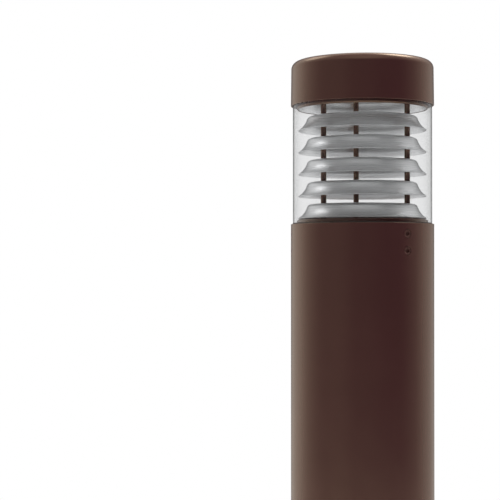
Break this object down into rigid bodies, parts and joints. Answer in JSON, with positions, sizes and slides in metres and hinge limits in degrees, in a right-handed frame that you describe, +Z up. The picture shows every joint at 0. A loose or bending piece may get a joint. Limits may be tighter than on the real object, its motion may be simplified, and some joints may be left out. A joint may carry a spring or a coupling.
{
  "type": "bollard light",
  "caption": "Round pathway bollard light: bronze tube shaft, clear lens over stacked flared louvre rings, and a domed-edge cap on a head that lifts out.",
  "frame": {"origin": "on the ground at the middle of the shaft's foot", "axes": "+Z up along the shaft; -Y is the front, and the wire tube stands at the back, on +Y"},
  "size_m": [0.165, 0.165, 1.067],
  "materials": {
    "bronze_paint": "satin polyester powder coat, fine orange peel",
    "spun_aluminium": "spun, satin, faint circular lathe lines",
    "raw_aluminium": "machined, untreated",
    "cast_aluminium": "sand cast, rough",
    "stainless_steel": "rolled thread and cold headed",
    "dark_screw_steel": "bronze coated alloy steel",
    "silicone_gasket": "matte moulded silicone",
    "black_rubber": "matte moulded rubber",
    "clear_lens": "clear extruded acrylic, gloss",
    "opal_diffuser": "satin opal acrylic",
    "board_white": "white solder mask",
    "led_phosphor": "yellow phosphor under silicone",
    "zinc_sheet": "zinc plated sheet",
    "driver_case": "fine spark-eroded moulding texture",
    "terminal_plastic": "moulded nylon",
    "green_screw": "green dyed",
    "red_insulation": "extruded insulation",
    "black_insulation": "extruded insulation"
  },
  "bodies": {
    "post": {"anchor_base": "cast_aluminium", "anchor_base_screws": "stainless_steel", "shaft": "bronze_paint", "screw_collar": "raw_aluminium", "head_set_screws": "dark_screw_steel"},
    "head": {"bracket_screws": "stainless_steel", "cap": "bronze_paint", "cap_gasket": "black_rubber", "cap_screws": "stainless_steel", "diffuser": "opal_diffuser", "diffuser_ring": "raw_aluminium", "diffuser_ring_screws": "stainless_steel", "driver_bracket": "zinc_sheet", "driver_screws": "stainless_steel", "ground_screw": "green_screw", "head_base": "bronze_paint", "heat_sink": "raw_aluminium", "heat_sink_screws": "stainless_steel", "input_leads": "black_insulation", "led_board": "board_white", "led_board_screws": "stainless_steel", "led_chips": "led_phosphor", "led_driver": "driver_case", "led_lead_black": "black_insulation", "led_lead_red": "red_insulation", "lens": "clear_lens", "louvre_1": "spun_aluminium", "louvre_2": "spun_aluminium", "louvre_3": "spun_aluminium", "louvre_4": "spun_aluminium", "louvre_5": "spun_aluminium", "lower_lens_gasket": "silicone_gasket", "rod_nuts": "stainless_steel", "rod_washers": "stainless_steel", "spacer_row_1": "bronze_paint", "spacer_row_2": "bronze_paint", "spacer_row_3": "bronze_paint", "spacer_row_4": "bronze_paint", "spacer_row_5": "bronze_paint", "spacer_row_6": "bronze_paint", "terminal_block": "terminal_plastic", "terminal_block_screws": "stainless_steel", "tie_rod_left": "stainless_steel", "tie_rod_right": "stainless_steel", "top_carrier": "bronze_paint", "top_reflector": "spun_aluminium", "upper_lens_gasket": "silicone_gasket", "wire_bushing": "black_rubber", "wire_tube": "stainless_steel"}
  },
  "joints": [
    {"name": "head_lift", "type": "slide", "parent": "post", "child": "head", "axis": [0, 0, 1], "range_m": [0, 0.175]}
  ]
}
